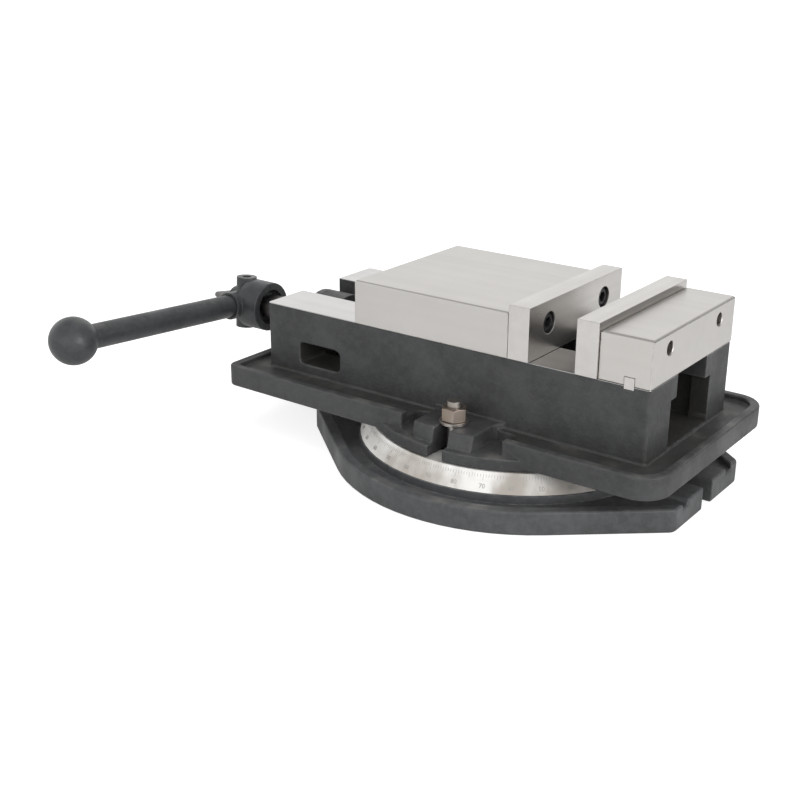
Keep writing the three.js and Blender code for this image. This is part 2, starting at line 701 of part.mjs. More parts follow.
function makeBearing() {
  const shaftHole = screw.shaftRadius + running;
  const washers = [['outer', outerWasherX], ['inner', innerWasherX]];
  washers.forEach(([side, from]) => {
    const piece = ring(shaftHole, thrust.outerRadius, [from, from + thrust.washerThickness], 'x');
    add(`thrust_washer_${side}`, piece.translate([0, 0, axisHeight]), bareSteel);
  });
  const half = thrust.cageThickness / 2;
  const cage = ring(shaftHole, thrust.outerRadius - seat, [ballX - half, ballX + half], 'x');
  const ballCircle = (shaftHole + thrust.outerRadius) / 2;
  const balls = Array.from({ length: thrust.ballCount }, (_, i) => {
    const sphere = solid(new THREE.IcosahedronGeometry(thrust.ballRadius, 1));
    return sphere.translate([ballX, 0, ballCircle]).rotate([i * 360 / thrust.ballCount, 0, 0]);
  });
  add('thrust_ball_cage', joined(cage, ...balls).translate([0, 0, axisHeight]), bareSteel);

  const coverFace = seat - bed.left;
  const plateSolid = ring(shaftHole, housing.radius, [coverFace, coverFace + cover.thickness], 'x');
  const headEnd = coverFace + coverScrew.sink + coverScrew.headLength + seat;
  const screwHole = joined(
    rod(coverScrew.headRadius + running, [coverFace - overrun, headEnd], 'x'),
    rod(coverScrew.shankRadius + running / 2, [coverFace, coverFace + cover.thickness + overrun], 'x'),
  ).translate([0, 0, coverScrewCircle]);
  const holes = coverScrewTurns().map((turn) => screwHole.rotate([turn, 0, 0]));
  add('bearing_cover', cut(plateSolid, ...holes).translate([0, 0, axisHeight]), paint);
  coverScrewTurns().forEach((turn, i) => {
    const piece = capScrew(coverScrew, coverFace + coverScrew.sink, 1).translate([0, 0, coverScrewCircle]);
    add(`cover_screw_${i + 1}`, piece.rotate([turn, 0, 0]).translate([0, 0, axisHeight]), blackSteel);
  });

  const collarBack = -bed.left - seat;
  const collarMiddle = collarBack - collar.width / 2;
  const collarRing = ring(screw.shaftRadius + seat, collar.radius, [collarBack - collar.width, collarBack], 'x');
  const tap = rod(collarScrew.radius + seat / 2, [0, collar.radius + overrun], 'z').translate([collarMiddle, 0, 0]);
  add('retaining_collar', cut(collarRing, tap), bareSteel, spindle);
  const tip = screw.shaftRadius + seat;
  const collarScrewPiece = setScrew(collarScrew.radius, tip + collarScrew.length, tip).rotate([0, -90, 0]);
  add('collar_set_screw', collarScrewPiece.translate([collarMiddle, 0, 0]), blackSteel, spindle);
}

// Clamp bolts: their T-heads ride in the groove of the base and pull the bed's lugs down.

function makeClamps() {
  const washerTop = lugTop + seat + washer.thickness;
  const hexTop = washerTop + seat + hexNut.thickness;
  const headTop = grooveHeadTop - seat;
  const headHalf = clampBolt.headWidth / 2;
  const bolt = joined(
    block([-headHalf, headHalf], [-headHalf, headHalf], [headTop - clampBolt.headHeight, headTop]),
    rod(clampBolt.shankRadius, [headTop - overrun, hexTop + clampBolt.endRise], 'z'),
  );
  const hole = clampBolt.shankRadius + running;
  const washerRing = ring(hole, washer.radius, [lugTop + seat, washerTop], 'z');
  const corner = hexNut.acrossFlats / Math.sqrt(3);
  const crown = turned([
    [0, washerTop + seat],
    [corner, washerTop + seat],
    [corner, hexTop - hexNut.chamfer],
    [corner - 2 * hexNut.chamfer, hexTop],
    [0, hexTop],
  ], 'z');
  const hexBody = polygon(hexagon(hexNut.acrossFlats), 'z', [washerTop + seat, hexTop]).intersect(crown);
  const bore = rod(hole, [washerTop, hexTop + overrun], 'z');
  [['near', -1], ['far', 1]].forEach(([end, side]) => {
    const place = [0, side * clampCircle, 0];
    add(`clamp_bolt_${end}`, bolt.translate(place), bareSteel);
    add(`clamp_washer_${end}`, washerRing.translate(place), bareSteel);
    add(`clamp_nut_${end}`, cut(hexBody, bore).translate(place), brownSteel);
  });
}

makeBase();
makeBed();
makeFixedJaw();
makeMovableJaw();
makeNut();
makeScrew();
makeCrank();
makeBearing();
makeClamps();

export default vise;
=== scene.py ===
# %% [markdown]
# # A milling machine vise on a swivel base
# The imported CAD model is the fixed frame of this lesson. It has the right sizes and joints, but plain faces
# and hard corners. Each step below takes one piece or one finish of the real vise and dresses the frame
# with it.

# %% Load the frame
import json
import math

import bmesh
import bpy
import numpy as np
from mathutils import Matrix, Vector

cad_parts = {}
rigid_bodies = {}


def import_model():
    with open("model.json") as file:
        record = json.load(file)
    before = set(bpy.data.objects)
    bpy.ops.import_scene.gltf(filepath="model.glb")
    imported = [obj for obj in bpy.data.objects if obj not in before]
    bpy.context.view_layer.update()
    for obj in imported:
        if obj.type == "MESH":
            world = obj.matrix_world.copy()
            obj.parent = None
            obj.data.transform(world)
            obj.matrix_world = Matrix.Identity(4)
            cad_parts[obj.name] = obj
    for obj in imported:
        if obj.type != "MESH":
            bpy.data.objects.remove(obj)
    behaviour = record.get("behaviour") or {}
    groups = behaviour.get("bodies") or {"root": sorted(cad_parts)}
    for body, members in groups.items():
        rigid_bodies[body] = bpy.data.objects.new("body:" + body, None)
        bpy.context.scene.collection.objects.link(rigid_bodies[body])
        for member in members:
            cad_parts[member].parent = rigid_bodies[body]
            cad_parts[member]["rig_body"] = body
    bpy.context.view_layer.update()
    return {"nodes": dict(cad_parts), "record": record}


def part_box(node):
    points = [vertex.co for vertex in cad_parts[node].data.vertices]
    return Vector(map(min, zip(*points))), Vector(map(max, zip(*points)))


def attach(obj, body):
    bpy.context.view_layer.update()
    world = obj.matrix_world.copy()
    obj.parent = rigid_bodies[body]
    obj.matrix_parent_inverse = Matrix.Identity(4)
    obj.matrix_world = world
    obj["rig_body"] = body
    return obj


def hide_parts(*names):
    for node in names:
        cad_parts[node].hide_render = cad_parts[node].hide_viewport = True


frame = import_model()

mm = 0.001
nodes = frame["nodes"]
slot_of = {part["node"]: part["material_slot"] for part in frame["record"]["subparts"]}
print(len(nodes), "CAD nodes in", len(set(slot_of.values())), "finishes")

# %% [markdown]
# ## Wiring shaders
# A material is a graph. Its nodes could be placed by hand in the editor, but a lesson reads better when
# each node is one line. The first helper makes a node and fills or links its inputs, and the next ones are
# the few kinds of node that every finish below needs.

# %% Helpers that make nodes
def add_node(tree, kind, inputs=None, **settings):
    """Makes a node, sets its properties, then links or fills its inputs by name or index."""
    node = tree.nodes.new(kind)
    for key, value in settings.items():
        setattr(node, key, value)
    for key, value in (inputs or {}).items():
        if isinstance(value, bpy.types.NodeSocket):
            tree.links.new(value, node.inputs[key])
        else:
            node.inputs[key].default_value = value
    return node


def number(tree, operation, *values):
    """One Math node and its result."""
    return add_node(tree, "ShaderNodeMath", dict(enumerate(values)), operation=operation).outputs[0]


def noise(tree, vector, scale, detail, roughness=0.5):
    """A soft random value that changes about scale times in a metre, with detail finer layers."""
    inputs = {"Vector": vector, "Scale": scale, "Detail": detail, "Roughness": roughness}
    return add_node(tree, "ShaderNodeTexNoise", inputs).outputs[0]


def axes_of(tree, vector):
    """The X, Y and Z of a vector, by name."""
    return add_node(tree, "ShaderNodeSeparateXYZ", {0: vector}).outputs


def ramp(tree, value, start, end):
    """0 below start and 1 above end, with a smooth step between them."""
    inputs = {0: value, 1: start, 2: end}
    return add_node(tree, "ShaderNodeMapRange", inputs, interpolation_type="SMOOTHSTEP").outputs[0]


# %% Helpers that mix
def blend_values(tree, factor, low, high):
    """A value between low and high."""
    return add_node(tree, "ShaderNodeMix", {0: factor, 2: low, 3: high}, data_type="FLOAT").outputs[0]


def blend_colours(tree, factor, first, second):
    """A colour between first and second."""
    return add_node(tree, "ShaderNodeMix", {0: factor, 6: first, 7: second}, data_type="RGBA").outputs[2]


def layered(tree, colour, mask, strength, layer):
    """The colour of a layer over another colour, as strongly as mask times strength."""
    return blend_colours(tree, number(tree, "MULTIPLY", mask, strength), colour, layer)


def scaled(colour, factor):
    """A colour made lighter or darker."""
    return tuple(factor * c for c in colour[:3]) + (1,)


# %% [markdown]
# ## Effects in groups
# Wear, grain and dust are needed in more than one finish. Copying their nodes into each material would
# work, but a node group with named sockets is built once, and each material then gives it its own values.

# %% Helpers that make and place groups
def new_group(name, takes, gives):
    """An empty node group with named inputs (name, kind, default) and named outputs (name, kind)."""
    tree = bpy.data.node_groups.new(name, "ShaderNodeTree")
    for label, kind, default in takes:
        socket = tree.interface.new_socket(label, in_out="INPUT", socket_type=kind)
        socket.default_value = default
    for label, kind in gives:
        tree.interface.new_socket(label, in_out="OUTPUT", socket_type=kind)
    return tree, tree.nodes.new("NodeGroupInput").outputs, tree.nodes.new("NodeGroupOutput").inputs


def use_group(tree, group, inputs):
    """Places a group in a material and returns its outputs."""
    return add_node(tree, "ShaderNodeGroup", inputs, node_tree=group).outputs


# %% [markdown]
# ## The skin of a sand casting
# Sand leaves small round bumps of about a millimetre, over slow waves where the mould gave way. Displacing
# the mesh that finely would take millions of faces. At this distance only the light on the bumps shows, so
# two noises make a height that a Bump node turns into shading, and two more give slow patches and a fine
# mottle.

# %% Group for the cast skin
cast_skin, takes, gives = new_group(
    "cast_skin",
    [("Vector", "NodeSocketVector", (0, 0, 0)), ("Grain", "NodeSocketFloat", 420)],
    [("Height", "NodeSocketFloat"), ("Patches", "NodeSocketFloat"), ("Mottle", "NodeSocketFloat")],
)
grain = noise(cast_skin, takes["Vector"], takes["Grain"], 3)
waves = noise(cast_skin, takes["Vector"], 120, 2)
patches = noise(cast_skin, takes["Vector"], 28, 5)
mottle = noise(cast_skin, takes["Vector"], 170, 5, 0.62)
cast_skin.links.new(blend_values(cast_skin, 0.45, grain, waves), gives["Height"])
cast_skin.links.new(ramp(cast_skin, patches, 0.35, 0.68), gives["Patches"])
cast_skin.links.new(ramp(cast_skin, mottle, 0.36, 0.66), gives["Mottle"])
print("cast_skin has", len(cast_skin.nodes), "nodes")

# %% [markdown]
# ## The marks of a grinding wheel
# A ground face is covered with fine straight scratches, all one way. An image would have to be drawn and
# unwrapped. A noise squeezed across the scratches and stretched along them gives endless ones on every
# face, straight from the object's own coordinates.

# %% Group for ground faces
ground_marks, takes, gives = new_group(
    "ground_marks",
    [("Vector", "NodeSocketVector", (0, 0, 0)), ("Stretch", "NodeSocketVector", (12, 900, 900))],
    [("Height", "NodeSocketFloat"), ("Tone", "NodeSocketFloat")],
)
lines = add_node(
    ground_marks, "ShaderNodeVectorMath", {0: takes["Vector"], 1: takes["Stretch"]}, operation="MULTIPLY"
).outputs[0]
ground_marks.links.new(noise(ground_marks, lines, 1, 4), gives["Height"])
broad = noise(ground_marks, lines, 0.11, 2)
cloud = noise(ground_marks, takes["Vector"], 22, 3)
streaks = blend_values(ground_marks, 0.5, broad, cloud)
ground_marks.links.new(ramp(ground_marks, streaks, 0.3, 0.7), gives["Tone"])
print("ground_marks has", len(ground_marks.nodes), "nodes")

# %% [markdown]
# ## Edges
# Hands and rags polish the corners of a casting first, and the paint there is made lighter still, as a
# painted highlight along the edges. On a ground block the broken edge is darkened instead, as painted
# shade. A painter would mask them by hand. Here a Bevel node looks at the corner that the surface is near:
# where its normal leaves the surface's own, there is an edge.

# %% Group for rubbed and highlit edges
rubbed_and_highlit_edges, takes, gives = new_group(
    "rubbed_and_highlit_edges",
    [("Vector", "NodeSocketVector", (0, 0, 0)), ("Radius", "NodeSocketFloat", 0.002)],
    [("Mask", "NodeSocketFloat")],
)
round_normal = add_node(rubbed_and_highlit_edges, "ShaderNodeBevel", {"Radius": takes["Radius"]}, samples=4).outputs[0]
own_normal = add_node(rubbed_and_highlit_edges, "ShaderNodeNewGeometry").outputs["Normal"]
likeness = add_node(
    rubbed_and_highlit_edges, "ShaderNodeVectorMath", {0: round_normal, 1: own_normal}, operation="DOT_PRODUCT"
).outputs["Value"]
nearness = ramp(rubbed_and_highlit_edges, number(rubbed_and_highlit_edges, "SUBTRACT", 1.0, likeness), 0.02, 0.25)
scuffs = ramp(rubbed_and_highlit_edges, noise(rubbed_and_highlit_edges, takes["Vector"], 160, 3), 0.35, 0.65)
rubbed_and_highlit_edges.links.new(number(rubbed_and_highlit_edges, "MULTIPLY", nearness, scuffs), gives["Mask"])
print("rubbed_and_highlit_edges has", len(rubbed_and_highlit_edges.nodes), "nodes")

# %% [markdown]
# ## Dust that has settled
# Dust lies where nothing wipes it: on faces that look up, more in some places than in others. The upward
# part of the surface's normal times a soft noise is enough for that.

# %% Group for settled dust
settled_dust, takes, gives = new_group(
    "settled_dust",
    [("Vector", "NodeSocketVector", (0, 0, 0)), ("Spread", "NodeSocketFloat", 35)],
    [("Mask", "NodeSocketFloat")],
)
own_normal = add_node(settled_dust, "ShaderNodeNewGeometry").outputs["Normal"]
upward = ramp(settled_dust, axes_of(settled_dust, own_normal)["Z"], 0.6, 1.0)
drifts = ramp(settled_dust, noise(settled_dust, takes["Vector"], takes["Spread"], 6), 0.45, 0.75)
settled_dust.links.new(number(settled_dust, "MULTIPLY", upward, drifts), gives["Mask"])
print("settled_dust has", len(settled_dust.nodes), "nodes")

# %% [markdown]
# ## Oil and dirt in the corners, and painted shade in the channel
# Cutting oil and swarf dust gather in the trough, at the foot of the walls and in the channel inside the
# bed, where no rag reaches. The mask starts at the trough's floor, inside its lip, and fades upwards,
# broken up by two noises, so that the stain has a ragged edge and not a line. The channel gets its own,
# heavier mask, which is partly dirt and mostly painted shade: it darkens the inside of the bed.

# %% Group for dirt in the trough
dirt_and_channel_shade, takes, gives = new_group(
    "dirt_and_channel_shade",
    [
        ("Vector", "NodeSocketVector", (0, 0, 0)),
        ("Low", "NodeSocketFloat", 0.054),
        ("High", "NodeSocketFloat", 0.088),
        ("Half Width", "NodeSocketFloat", 0.099),
        ("Walls", "NodeSocketFloat", 0.0725),
    ],
    [("Mask", "NodeSocketFloat")],
)
split = axes_of(dirt_and_channel_shade, takes["Vector"])
depth = add_node(
    dirt_and_channel_shade, "ShaderNodeMapRange", {0: split["Z"], 1: takes["Low"], 2: takes["High"], 3: 1.0, 4: 0.0}
).outputs[0]
smears = noise(dirt_and_channel_shade, takes["Vector"], 48, 6, 0.65)
specks = noise(dirt_and_channel_shade, takes["Vector"], 210, 4, 0.7)
ragged = blend_values(dirt_and_channel_shade, 0.4, smears, specks)
reach = number(dirt_and_channel_shade, "ADD", number(dirt_and_channel_shade, "MULTIPLY", depth, 0.42), ragged)
beside = number(dirt_and_channel_shade, "ABSOLUTE", split["Y"])
inside = number(dirt_and_channel_shade, "LESS_THAN", beside, takes["Half Width"])
above = number(dirt_and_channel_shade, "GREATER_THAN", split["Z"], takes["Low"])
in_tray = number(dirt_and_channel_shade, "MULTIPLY", inside, above)
trough = number(dirt_and_channel_shade, "MULTIPLY", in_tray, ramp(dirt_and_channel_shade, reach, 0.68, 1.0))
print("the trough's dirt takes", len(dirt_and_channel_shade.nodes), "nodes")

# %% The same group's dirt and painted shade in the channel
channel_middle, channel_half_length, channel_top = -31.3 * mm, 187 * mm, 95.5 * mm
heavier = 1.4
from_middle = number(dirt_and_channel_shade, "ABSOLUTE", number(dirt_and_channel_shade, "ADD", split["X"], -channel_middle))
between_walls = number(dirt_and_channel_shade, "LESS_THAN", beside, takes["Walls"])
between_ends = number(dirt_and_channel_shade, "LESS_THAN", from_middle, channel_half_length)
below = number(dirt_and_channel_shade, "LESS_THAN", split["Z"], channel_top)
channel = number(dirt_and_channel_shade, "MULTIPLY", number(dirt_and_channel_shade, "MULTIPLY", between_walls, between_ends), below)
channel = number(dirt_and_channel_shade, "MULTIPLY", channel, ramp(dirt_and_channel_shade, ragged, 0.1, 0.4))
channel = number(dirt_and_channel_shade, "MULTIPLY", channel, heavier)
dirt_and_channel_shade.links.new(number(dirt_and_channel_shade, "MAXIMUM", trough, channel), gives["Mask"])
print("dirt_and_channel_shade has", len(dirt_and_channel_shade.nodes), "nodes")

# %% [markdown]
# ## Enamel over cast iron
# The enamel follows the skin of the casting: slow patches, a fine mottle, lighter at the edges, where it
# is rubbed and where a painted highlight is added, and dust on top. Each of these could be a texture of its
# own. As layers over one colour, each with a mask and a strength, they stay easy to turn up or down.

# %% Enamel
dust_grey = (0.24, 0.23, 0.21, 1)
oil_black_and_shade = (0.026, 0.025, 0.022, 1)
mottled, rubbed_and_highlit, dusty = 0.4, 0.8, 0.3
patch_shade, fleck_shade = 0.76, 1.5


def start_material(name):
    """A material with its Principled shader and the object's own coordinates."""
    material = bpy.data.materials.new(name)
    material.use_nodes = True
    tree = material.node_tree
    place = add_node(tree, "ShaderNodeTexCoord").outputs["Object"]
    return material, tree, tree.nodes["Principled BSDF"], place


def enamelled(tree, place, skin, paint, rubbed_and_highlit_paint, dirt_and_shade):
    """The enamel's colour on a casting. The last argument is the strength of the dirt in its corners and
    of the painted shade in the bed's channel.
    """
    edges = use_group(tree, rubbed_and_highlit_edges, {"Vector": place, "Radius": 2.5 * mm})
    dust = use_group(tree, settled_dust, {"Vector": place})
    colour = blend_colours(tree, skin["Patches"], scaled(paint, patch_shade), paint)
    colour = layered(tree, colour, skin["Mottle"], mottled, scaled(paint, fleck_shade))
    # lighter edges: rubbed paint, with a painted highlight on top of the wear
    colour = layered(tree, colour, edges["Mask"], rubbed_and_highlit, rubbed_and_highlit_paint)
    colour = layered(tree, colour, dust["Mask"], dusty, dust_grey)
    # dirt in the trough, and painted shade with some dirt in the bed's channel
    if dirt_and_shade:
        dirt = use_group(tree, dirt_and_channel_shade, {"Vector": place})["Mask"]
        colour = layered(tree, colour, dirt, dirt_and_shade, oil_black_and_shade)
    return colour


print("enamel layers:", mottled, rubbed_and_highlit, dusty)

# %% [markdown]
# ## Castings with bare machined faces
# The bed is enamelled, but its rails are ground bright, and the base carries a bright turned ring. These
# are one casting each, so cutting them into pieces would be false. One material holds both finishes
# instead, and a mask worked out from the place on the casting says which one shows.

# %% Cast and machined finish in one material
brown_stain_and_reflection = (0.42, 0.385, 0.345, 1)
skin_depth = 0.35 * mm
machined_share = 0.04


def machined_iron(tree, place, tones, stain_and_reflection, marks_along, patch_shape, patch_shift):
    """Bare machined iron with brown patches: its colour and the height of its marks. marks_along and
    patch_shape are how often the marks and the patches change along X, Y and Z, and patch_shift moves the
    patches. On the turned ring of the base the patches are partly a stain and partly a painted reflection."""
    marks = use_group(tree, ground_marks, {"Vector": place, "Stretch": marks_along})
    drawn = add_node(
        tree, "ShaderNodeVectorMath", {0: place, 1: patch_shape, 2: patch_shift}, operation="MULTIPLY_ADD"
    ).outputs[0]
    blotches = ramp(tree, noise(tree, drawn, 1, 5), 0.48, 0.66)
    iron = layered(tree, blend_colours(tree, marks["Tone"], *tones), blotches, stain_and_reflection, brown_stain_and_reflection)
    return iron, number(tree, "MULTIPLY", marks["Height"], machined_share)


def casting(
    name, paint, rubbed_and_highlit_paint, roughness, bare=None, tones=None, iron_roughness=0.3, metal_share=1.0,
    dirt_and_shade=0.0, stain_and_reflection=0.05, marks_along=(12, 900, 900), patch_shape=(16, 16, 16), patch_shift=(0, 0, 0),
):
    """Enamel over cast iron. bare(tree, place) gives the mask of the machined faces, if there are any."""
    material, tree, shader, place = start_material(name)
    skin = use_group(tree, cast_skin, {"Vector": place})
    colour = enamelled(tree, place, skin, paint, rubbed_and_highlit_paint, dirt_and_shade)
    rough = blend_values(tree, skin["Patches"], roughness + 0.1, roughness - 0.06)
    height = skin["Height"]
    if bare:
        mask = bare(tree, place)
        iron, marks = machined_iron(tree, place, tones, stain_and_reflection, marks_along, patch_shape, patch_shift)
        colour = blend_colours(tree, mask, colour, iron)
        rough = blend_values(tree, mask, rough, iron_roughness)
        height = blend_values(tree, mask, height, marks)
        tree.links.new(number(tree, "MULTIPLY", mask, metal_share), shader.inputs["Metallic"])
    bump = add_node(tree, "ShaderNodeBump", {"Height": height, "Strength": 1.0, "Distance": skin_depth})
    tree.links.new(colour, shader.inputs["Base Color"])
    tree.links.new(rough, shader.inputs["Roughness"])
    tree.links.new(bump.outputs["Normal"], shader.inputs["Normal"])
    return material


# %% Where the machined faces are
rail_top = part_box("fixed_jaw")[0].z - 0.3 * mm
dial_radius = 135.5 * mm
dial_foot = 22.5 * mm


def above_rails(tree, place):
    """The ground tops of the rails: everything above a plane 0.45 mm under them."""
    return number(tree, "GREATER_THAN", axes_of(tree, place)["Z"], rail_top - 0.45 * mm)


def on_the_dial(tree, place):
    """The turned ring of the base: inside its radius and above its foot."""
    split = axes_of(tree, place)
    flat = add_node(tree, "ShaderNodeCombineXYZ", {0: split["X"], 1: split["Y"]}).outputs[0]
    reach = add_node(tree, "ShaderNodeVectorMath", {0: flat}, operation="LENGTH").outputs["Value"]
    inside = number(tree, "LESS_THAN", reach, dial_radius + 0.3 * mm)
    above = number(tree, "GREATER_THAN", split["Z"], dial_foot + 0.2 * mm)
    return number(tree, "MULTIPLY", inside, above)


print("rail tops at", round(rail_top / mm, 1), "mm, ring radius", round(dial_radius / mm, 1), "mm")

# %% Bed, base and crank
enamel = (0.040, 0.041, 0.042, 1)
foot_enamel = (0.058, 0.060, 0.062, 1)
crank_enamel = (0.034, 0.036, 0.038, 1)
rail_tones = [(0.59, 0.58, 0.57, 1), (0.66, 0.65, 0.64, 1)]
dial_tones = [(0.70, 0.68, 0.64, 1), (0.96, 0.95, 0.93, 1)]
finish = {
    # the bed's enamel carries the trough's dirt and the painted shade in its channel
    "bed_casting": casting(
        "bed_enamel", enamel, (0.15, 0.15, 0.148, 1), 0.46, above_rails, rail_tones, 0.11, dirt_and_shade=0.6
    ),
    # on the ring, the strong brown patches set by patch_shift are partly stain and partly painted reflection
    "base_casting": casting(
        "base_enamel", foot_enamel, (0.18, 0.18, 0.18, 1), 0.42, on_the_dial, dial_tones, 0.34, 0.55,
        stain_and_reflection=0.95, marks_along=(60, 60, 900), patch_shape=(17, 17, 3), patch_shift=(8.8, 4.4, 2),
    ),
    "crank_paint": casting("crank_enamel", crank_enamel, (0.12, 0.12, 0.12, 1), 0.36),
}
print("castings painted:", sorted(finish))

# %% [markdown]
# ## Bare steel
# The jaws are surface ground, the screw and collar are turned, the clamp nuts have gone brown and the cap
# screws are black oxide. All of them are steel with fine marks, and differ in colour, gloss, direction and
# stain, so one function makes them and the numbers tell them apart.

# %% How steel is made
stain_brown = (0.3, 0.24, 0.18, 1)
steel_mark_depth = 0.007 * mm
polish, brightest = 1.12, 0.8
polished_share, edge_shade_share = 0.2, 0.75


def steel(
    name, light, dark, roughness, stretch, stained=0.0, metallic=1.0, uneven=0.045,
    edge_shade_tone=None, edge_width=0.8,
):
    """Bare or blackened steel with fine marks, drawn out along the axis where stretch is small, and a thin
    brown stain. uneven is how far the marks vary its roughness. Edges are polished, or darkened as painted
    shade where a tone for them is given."""
    material, tree, shader, place = start_material(name)
    marks = use_group(tree, ground_marks, {"Vector": place, "Stretch": stretch})
    edges = use_group(tree, rubbed_and_highlit_edges, {"Vector": place, "Radius": edge_width * mm})
    blotches = ramp(tree, noise(tree, place, 60, 6), 0.52, 0.75)
    colour = blend_colours(tree, marks["Tone"], dark, light)
    colour = layered(tree, colour, blotches, stained, stain_brown)
    polished = tuple(min(brightest, polish * c) for c in light[:3]) + (1,)
    edge_share = edge_shade_share if edge_shade_tone else polished_share
    # the edges: polished, or darkened with painted shade
    colour = layered(tree, colour, edges["Mask"], edge_share, edge_shade_tone or polished)
    rough = blend_values(tree, marks["Tone"], roughness + uneven, roughness - uneven)
    bump = add_node(
        tree, "ShaderNodeBump", {"Height": marks["Height"], "Strength": 1.0, "Distance": steel_mark_depth}
    )
    tree.links.new(colour, shader.inputs["Base Color"])
    tree.links.new(rough, shader.inputs["Roughness"])
    tree.links.new(bump.outputs["Normal"], shader.inputs["Normal"])
    shader.inputs["Metallic"].default_value = metallic
    return material


# %% Steel finishes
along_x = (14, 1100, 1100)
along_y = (1100, 14, 1100)
round_x = (900, 240, 240)
# the ground iron's darker edge tone is painted shade on its broken edges
finish["ground_iron"] = steel(
    "ground_iron", (0.66, 0.64, 0.615, 1), (0.64, 0.62, 0.595, 1), 0.34, along_x, uneven=0.02,
    edge_shade_tone=(0.30, 0.27, 0.24, 1), edge_width=2.6,
)
finish["jaw_plates"] = steel("ground_plates", (0.70, 0.68, 0.655, 1), (0.65, 0.63, 0.61, 1), 0.31, along_y)
finish["machined_steel"] = steel(
    "turned_steel", (0.60, 0.59, 0.57, 1), (0.52, 0.51, 0.49, 1), 0.3, round_x, stained=0.25
)
finish["clamp_bolts"] = steel(
    "bolt_steel", (0.46, 0.43, 0.40, 1), (0.34, 0.31, 0.28, 1), 0.4, round_x, stained=0.5
)
finish["clamp_nuts"] = steel(
    "brown_steel", (0.42, 0.355, 0.31, 1), (0.27, 0.225, 0.19, 1), 0.42, round_x, stained=0.6
)
finish["dial_lines"] = steel(
    "engraved_lines", (0.46, 0.45, 0.43, 1), (0.36, 0.35, 0.34, 1), 0.45, round_x, metallic=0.85
)
finish["black_screws"] = steel(
    "black_oxide", (0.035, 0.035, 0.038, 1), (0.02, 0.02, 0.022, 1), 0.42, round_x, metallic=0.4
)
finish["oiled_steel"] = steel(
    "oiled_steel", (0.24, 0.23, 0.22, 1), (0.15, 0.145, 0.14, 1), 0.34, round_x, stained=0.4
)
print("finishes:", sorted(finish))

# %% [markdown]
# ## Rounded edges
# No real edge is sharp: a casting has radii and fillets of a millimetre or two, a ground edge is broken by
# half a millimetre. Bevelling everything by one width would look wrong. So each piece is copied from the
# frame, its flat faces are joined, and each hard edge gets its own width from where it lies, as a weight
# that a Bevel modifier reads. A Weighted Normal modifier then keeps the flat faces flat.

# %% Helpers for finished pieces
def read(items, name, width, kind=float):
    """The values of one attribute of a mesh as rows."""
    values = np.zeros(len(items) * width, kind)
    items.foreach_get(name, values)
    return values.reshape(-1, width)


def dress(piece, body, slot, stands_for=(), look=None):
    """Puts a finished piece in the scene: its body, its finish and the nodes that it stands for. look names
    a finish of its own, where the piece differs from the others of its slot."""
    if piece.name not in bpy.context.scene.collection.objects:
        bpy.context.scene.collection.objects.link(piece)
    piece.data.materials.clear()
    piece.data.materials.append(finish[look or slot])
    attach(piece, body)
    if stands_for:
        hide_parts(*stands_for)
    return piece


# %% Copies of the frame's pieces
def flat_faced(node, cuts, reshaped):
    """A mesh of a CAD node with its doubles merged and its flat faces joined. cuts are (axis, place) of
    flat cuts through big faces, which keep the faces beside an edge wider than its rounding.
    reshaped(places) moves the corners first. Also gives the turn from face to face at each edge, in
    radians."""
    source = nodes[node].data.copy()
    if reshaped:
        source.vertices.foreach_set("co", (reshaped(read(source.vertices, "co", 3) / mm) * mm).ravel())
    shape = bmesh.new()
    shape.from_mesh(source)
    bmesh.ops.remove_doubles(shape, verts=shape.verts, dist=0.005 * mm)
    bmesh.ops.dissolve_limit(shape, angle_limit=math.radians(0.8), verts=shape.verts, edges=shape.edges)
    for axis, place in cuts:
        across = Vector([float(axis == each) for each in range(3)])
        everything = shape.verts[:] + shape.edges[:] + shape.faces[:]
        bmesh.ops.bisect_plane(
            shape, geom=everything, dist=0.001 * mm, plane_co=across * place * mm, plane_no=across
        )
    if cuts:
        bmesh.ops.connect_verts_concave(shape, faces=shape.faces)
    turns = np.array([edge.calc_face_angle(0) for edge in shape.edges])
    mesh = bpy.data.meshes.new(f"{node}_rounded")
    shape.to_mesh(mesh)
    shape.free()
    return mesh, turns


# %% Rounding by the place of each edge
hard_turn = math.radians(32)


def rounded(node, width_at, segments=3, cuts=(), reshaped=None):
    """Copies a CAD node and rounds its hard edges. width_at(x, y, z) takes the edges' middles in
    millimetres as arrays and gives their widths in millimetres. Each edge's weight is its width over the
    widest one."""
    mesh, turns = flat_faced(node, cuts, reshaped)
    ends = read(mesh.edges, "vertices", 2, np.int32)
    middles = read(mesh.vertices, "co", 3)[ends].mean(axis=1) / mm
    hard = turns > hard_turn
    widths = np.where(hard, width_at(*middles.T), 0.0)
    widest = widths.max()
    weights = mesh.attributes.new("bevel_weight_edge", "FLOAT", "EDGE")
    weights.data.foreach_set("value", widths / widest)
    sharp = mesh.attributes.new("sharp_edge", "BOOLEAN", "EDGE")
    sharp.data.foreach_set("value", hard & (widths == 0))
    mesh.shade_smooth()
    piece = bpy.data.objects.new(f"{node}_worked", mesh)
    bevel = piece.modifiers.new("broken edges", "BEVEL")
    bevel.limit_method = "WEIGHT"
    bevel.width = widest * mm
    bevel.segments = segments
    bevel.use_clamp_overlap = False
    piece.modifiers.new("flat faces", "WEIGHTED_NORMAL").keep_sharp = True
    return dress(piece, nodes[node]["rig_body"], slot_of[node], [node])


def even(width):
    """The same width everywhere."""
    return lambda x, y, z: np.full(x.shape, width)


# %% [markdown]
# ## The two big castings
# On the bed, the rails and the slot between them are machined and all the rest is cast. On the base, the
# ring and the bore in it are turned. One width for each casting would leave the machined edges too soft or
# the cast ones too sharp, so height and radius tell these places apart.

# %% Widths of the castings' edges
tray_floor, tray_under = 55.0, 47.3


